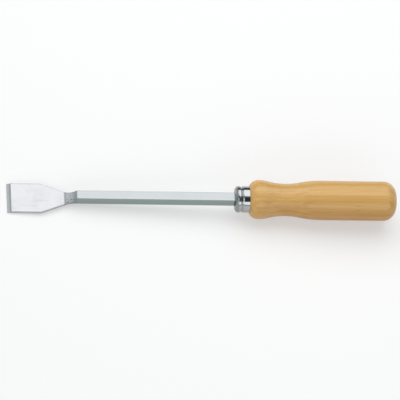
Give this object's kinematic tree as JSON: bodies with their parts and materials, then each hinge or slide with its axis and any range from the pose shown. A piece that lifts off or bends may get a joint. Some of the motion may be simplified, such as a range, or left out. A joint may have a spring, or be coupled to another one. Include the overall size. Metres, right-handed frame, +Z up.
{
  "type": "gasket scraper",
  "caption": "Hand scraper with a flat flared blade, hollow ground at its end, on a square shank with a ferrule and a turned wooden handle, for lifting old gaskets.",
  "frame": {"origin": "middle of the bottom of the box round the tool as it lies at rest on its cutting edge and the front of its handle", "axes": "+X from the cutting edge to the butt along the floor, +Y across the blade, +Z up; the tool's own axis rises towards the butt by about 3.4 degrees"},
  "size_m": [0.3206, 0.0324, 0.0384],
  "materials": {
    "plated_steel": "satin bright plating with fine lengthwise drawing lines",
    "ferrule_chrome": "polished",
    "lacquered_wood": "clear lacquer, semi-gloss"
  },
  "bodies": {
    "root": {"blade_shank": "plated_steel", "ferrule": "ferrule_chrome", "handle": "lacquered_wood"}
  },
  "joints": []
}
